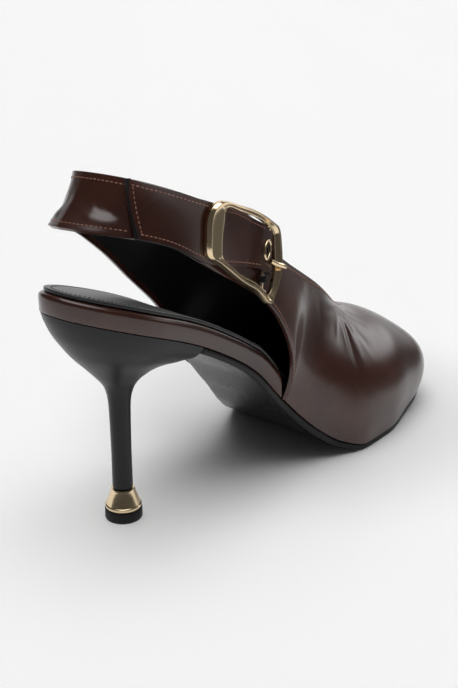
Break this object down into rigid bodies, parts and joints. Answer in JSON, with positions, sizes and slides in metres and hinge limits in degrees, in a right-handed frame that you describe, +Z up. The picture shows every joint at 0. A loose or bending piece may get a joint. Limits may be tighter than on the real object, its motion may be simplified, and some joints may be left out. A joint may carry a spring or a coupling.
{
  "type": "slingback pump",
  "caption": "Right slingback pump with a closed square toe, deep V throat, wide heel strap with a large angular buckle, and a slim high heel with a metal collar.",
  "frame": {"origin": "centre of the top lift's lower face, on the floor under the heel", "axes": "+X to the toe, +Y to the inner (medial) side, +Z up; the outer side with the buckle faces -Y"},
  "size_m": [0.2148, 0.0747, 0.1311],
  "materials": {
    "brown_leather": "smooth, glossy, dark mahogany",
    "black_lining": "smooth, satin",
    "black_sole": "satin",
    "black_heel": "satin lacquer",
    "black_rubber": "matte",
    "black_gloss": "glossy",
    "gold": "polished pale gold plating"
  },
  "bodies": {
    "root": {"upper": "brown_leather", "insole": "brown_leather", "sock": "black_lining", "outsole": "black_sole", "heel": "black_heel", "heel_collar": "gold", "top_lift": "black_rubber", "buckle_strap": "brown_leather", "buckle_frame": "gold", "buckle_prong": "gold", "strap_eyelet": "gold", "buckle_loop": "black_gloss"}
  },
  "joints": []
}
